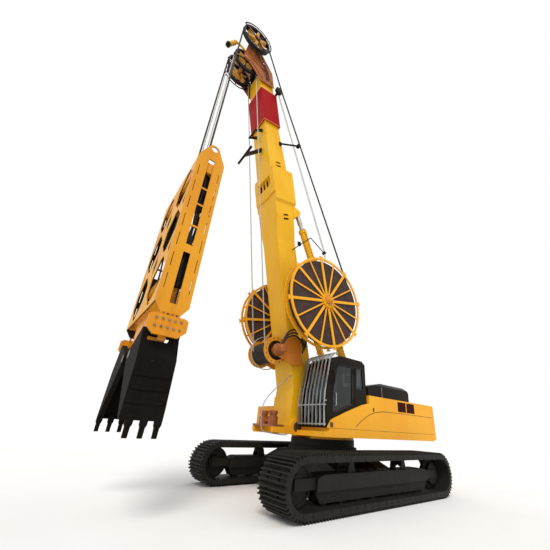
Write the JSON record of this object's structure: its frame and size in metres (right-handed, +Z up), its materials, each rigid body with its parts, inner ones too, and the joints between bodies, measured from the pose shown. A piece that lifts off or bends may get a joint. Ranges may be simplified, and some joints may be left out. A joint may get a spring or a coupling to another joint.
{
  "type": "diaphragm wall grab",
  "caption": "Tracked slewing carrier with a forward-leaning mast, hose reels and winch, hanging a tall guided clamshell grab that digs deep wall trenches.",
  "frame": {"origin": "middle of the machine's footprint on the ground, taken over its whole bounding box", "axes": "+X forward towards the grab, +Y to the cab side, +Z up"},
  "size_m": [8.6264, 4.23, 14.4621],
  "materials": {
    "yellow_paint": "semi-gloss paint",
    "orange_paint": "worn paint",
    "black_paint": "matt paint",
    "charcoal_paint": "satin paint",
    "black_iron": "matt",
    "red_paint": "gloss paint",
    "guard_steel": "satin",
    "bare_steel": "oiled",
    "rod_chrome": "polished",
    "rope_steel": "stranded",
    "hose_rubber": "matt",
    "tinted_glass": "clear",
    "seat_fabric": "woven"
  },
  "bodies": {
    "undercarriage": {"car_body": "black_paint", "track_frame_left": "black_paint", "track_frame_right": "black_paint", "track_left": "black_paint", "track_right": "black_paint", "drive_sprockets": "black_paint", "track_idlers": "black_paint", "track_rollers": "black_paint", "slew_ring": "black_paint"},
    "superstructure": {"deck_frame": "yellow_paint", "house_left": "yellow_paint", "house_right": "yellow_paint", "counterweight": "yellow_paint", "engine": "black_iron", "cab_shell": "charcoal_paint", "cab_sides": "charcoal_paint", "cab_glass": "tinted_glass", "cab_fairing": "yellow_paint", "house_grille": "charcoal_paint", "hose_manifold": "orange_paint", "front_guard": "guard_steel", "operator_seat": "seat_fabric", "mast_foot_pin": "bare_steel"},
    "hood": {"engine_hood": "charcoal_paint"},
    "door": {"cab_door": "charcoal_paint", "door_glass": "tinted_glass"},
    "mast": {"lower_mast": "yellow_paint", "collar_band": "yellow_paint", "upper_mast": "yellow_paint", "sign_sleeve": "red_paint", "mast_head": "orange_paint", "sheave_guards": "charcoal_paint", "rope_guides": "charcoal_paint", "reel_beam": "orange_paint", "winch_frame": "orange_paint", "winch_ropes": "rope_steel", "reel_hoses": "hose_rubber"},
    "winch": {"winch_drum": "orange_paint"},
    "left_reel": {"reel_left": "yellow_paint", "reel_hose_left": "hose_rubber"},
    "right_reel": {"reel_right": "yellow_paint", "reel_hose_right": "hose_rubber"},
    "rope_sheave_pair": {"rope_sheaves": "bare_steel"},
    "hose_sheave_pair": {"hose_sheaves": "bare_steel"},
    "luff_barrel_pair": {"luff_barrels": "yellow_paint"},
    "luff_rod_pair": {"luff_rods": "rod_chrome"},
    "rope_fall": {"hoist_ropes": "rope_steel"},
    "grab": {"guide_ends": "orange_paint", "guide_faces": "yellow_paint", "guide_shoes": "orange_paint", "grab_top_beam": "yellow_paint", "grab_lower_head": "yellow_paint", "jaw_cylinder": "charcoal_paint"},
    "jaw_ram": {"crosshead": "yellow_paint"},
    "left_jaw": {"jaw_left": "black_iron"},
    "right_jaw": {"jaw_right": "black_iron"}
  },
  "joints": [
    {"name": "slew", "type": "hinge", "parent": "undercarriage", "child": "superstructure", "pos_m": [-0.81321, 0, 1.2], "axis": [0, 0, 1], "continuous": true},
    {"name": "hood_lift", "type": "hinge", "parent": "superstructure", "child": "hood", "pos_m": [-3.37321, 0, 2.28], "axis": [0, -1, 0], "range_deg": [0, 50]},
    {"name": "door_swing", "type": "hinge", "parent": "superstructure", "child": "door", "pos_m": [-0.50321, 1.47, 2.4], "axis": [0, 0, 1], "range_deg": [0, 95]},
    {"name": "mast_luff", "type": "hinge", "parent": "superstructure", "child": "mast", "pos_m": [0.43679, 0, 1.42], "axis": [0, 1, 0], "range_deg": [-4, 8]},
    {"name": "luff_barrel_tilt", "type": "hinge", "parent": "superstructure", "child": "luff_barrel_pair", "pos_m": [-1.89321, 0, 1.85], "axis": [0, 1, 0], "range_deg": [-6, 10]},
    {"name": "luff_rod_slide", "type": "slide", "parent": "luff_barrel_pair", "child": "luff_rod_pair", "axis": [0.4444, 0, 0.8958], "range_m": [-0.4, 0.6]},
    {"name": "winch_turn", "type": "hinge", "parent": "mast", "child": "winch", "pos_m": [1.20599, 0, 3.13852], "axis": [0, 1, 0], "continuous": true},
    {"name": "left_reel_turn", "type": "hinge", "parent": "mast", "child": "left_reel", "pos_m": [0.2834, 1.12, 4.53022], "axis": [0, 1, 0], "continuous": true},
    {"name": "right_reel_turn", "type": "hinge", "parent": "mast", "child": "right_reel", "pos_m": [0.2834, -1.12, 4.53022], "axis": [0, 1, 0], "continuous": true},
    {"name": "rope_sheave_turn", "type": "hinge", "parent": "mast", "child": "rope_sheave_pair", "pos_m": [3.58721, 0, 12.89222], "axis": [0, 1, 0], "continuous": true},
    {"name": "hose_sheave_turn", "type": "hinge", "parent": "mast", "child": "hose_sheave_pair", "pos_m": [3.48821, 0, 13.89222], "axis": [0, 1, 0], "continuous": true},
    {"name": "grab_swing", "type": "hinge", "parent": "mast", "child": "rope_fall", "pos_m": [3.99321, 0, 12.89222], "axis": [0, -1, 0], "range_deg": [-6, 10]},
    {"name": "grab_hoist", "type": "slide", "parent": "rope_fall", "child": "grab", "axis": [0, 0, 1], "range_m": [-1, 1.5], "deforming": ["hoist_ropes"]},
    {"name": "left_jaw_close", "type": "hinge", "parent": "grab", "child": "left_jaw", "pos_m": [3.99321, 0.3, 2.45], "axis": [-1, 0, 0], "range_deg": [0, 47]},
    {"name": "right_jaw_close", "type": "hinge", "parent": "grab", "child": "right_jaw", "pos_m": [3.99321, -0.3, 2.45], "axis": [1, 0, 0], "range_deg": [0, 47]},
    {"name": "jaw_ram_slide", "type": "slide", "parent": "grab", "child": "jaw_ram", "axis": [0, 0, -1], "range_m": [0, 0.57]}
  ],
  "couplings": [
    {"joint": "luff_barrel_tilt", "follows": "mast_luff", "ratio": 0.88718},
    {"joint": "luff_rod_slide", "follows": "mast_luff", "m_per_rad": 2.2495},
    {"joint": "right_jaw_close", "follows": "left_jaw_close", "ratio": 1},
    {"joint": "jaw_ram_slide", "follows": "left_jaw_close", "m_per_rad": 0.68637}
  ]
}
